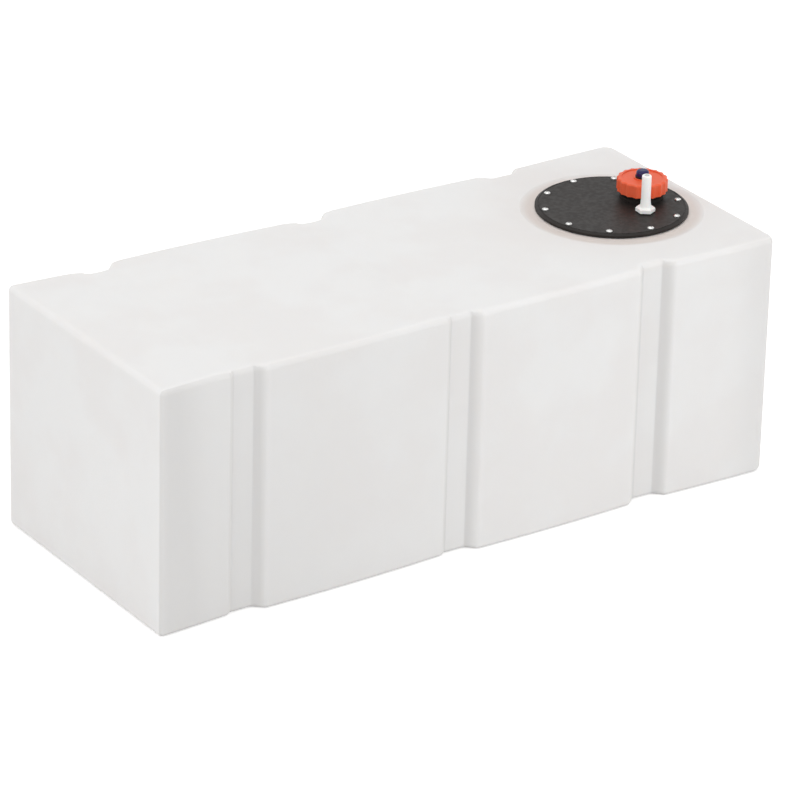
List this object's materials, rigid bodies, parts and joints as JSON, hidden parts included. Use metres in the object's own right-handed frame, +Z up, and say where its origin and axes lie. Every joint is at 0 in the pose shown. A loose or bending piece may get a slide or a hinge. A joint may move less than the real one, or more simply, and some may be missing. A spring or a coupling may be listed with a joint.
{
  "type": "water tank",
  "caption": "Rectangular moulded fresh-water tank with upright strap channels and a round bolted inspection plate that carries a screw filler cap with a vent and a hose tail.",
  "frame": {"origin": "on the ground under the middle of the tank", "axes": "+X along the tank towards the end with the inspection plate, +Y across the tank to the back, +Z up"},
  "size_m": [0.97, 0.3914, 0.4077],
  "materials": {
    "milky_polyethylene": "satin milky white, slightly translucent",
    "black_plastic": "satin black with a fine grain",
    "red_plastic": "semi-gloss orange-red",
    "blue_plastic": "semi-gloss navy blue",
    "white_nylon": "semi-gloss natural white",
    "grey_plastic": "satin grey",
    "clear_tube": "cloudy soft tube",
    "black_rubber": "matt",
    "stainless_steel": "bright stainless",
    "brass": "turned"
  },
  "bodies": {
    "root": {"tank_body": "milky_polyethylene", "plate_gasket": "black_rubber", "clamp_ring": "grey_plastic", "ring_inserts": "brass", "inspection_plate": "black_plastic", "plate_screws": "stainless_steel", "hose_tail": "white_nylon", "hose_tail_gasket": "black_rubber", "hose_tail_nut": "white_nylon", "pickup_tube": "clear_tube", "pickup_clip": "stainless_steel", "pickup_strainer": "white_nylon"},
    "cap_carriage": {"cap_seal": "black_rubber"},
    "cap": {"filler_cap": "red_plastic", "vent_bush": "black_plastic"},
    "vent": {"vent_knob": "blue_plastic", "vent_o_ring": "black_rubber"}
  },
  "joints": [
    {"name": "cap_rise", "type": "slide", "parent": "root", "child": "cap_carriage", "axis": [0, 0, 1], "range_m": [0, 0.0124]},
    {"name": "cap_turn", "type": "hinge", "parent": "cap_carriage", "child": "cap", "pos_m": [0.4023, 0.0042, 0.38], "axis": [0, 0, 1], "range_deg": [0, 990]},
    {"name": "vent_pull", "type": "slide", "parent": "cap", "child": "vent", "axis": [0, 0, 1], "range_m": [0, 0.005]}
  ],
  "couplings": [
    {"joint": "cap_rise", "follows": "cap_turn", "m_per_rad": 0.0007162}
  ]
}
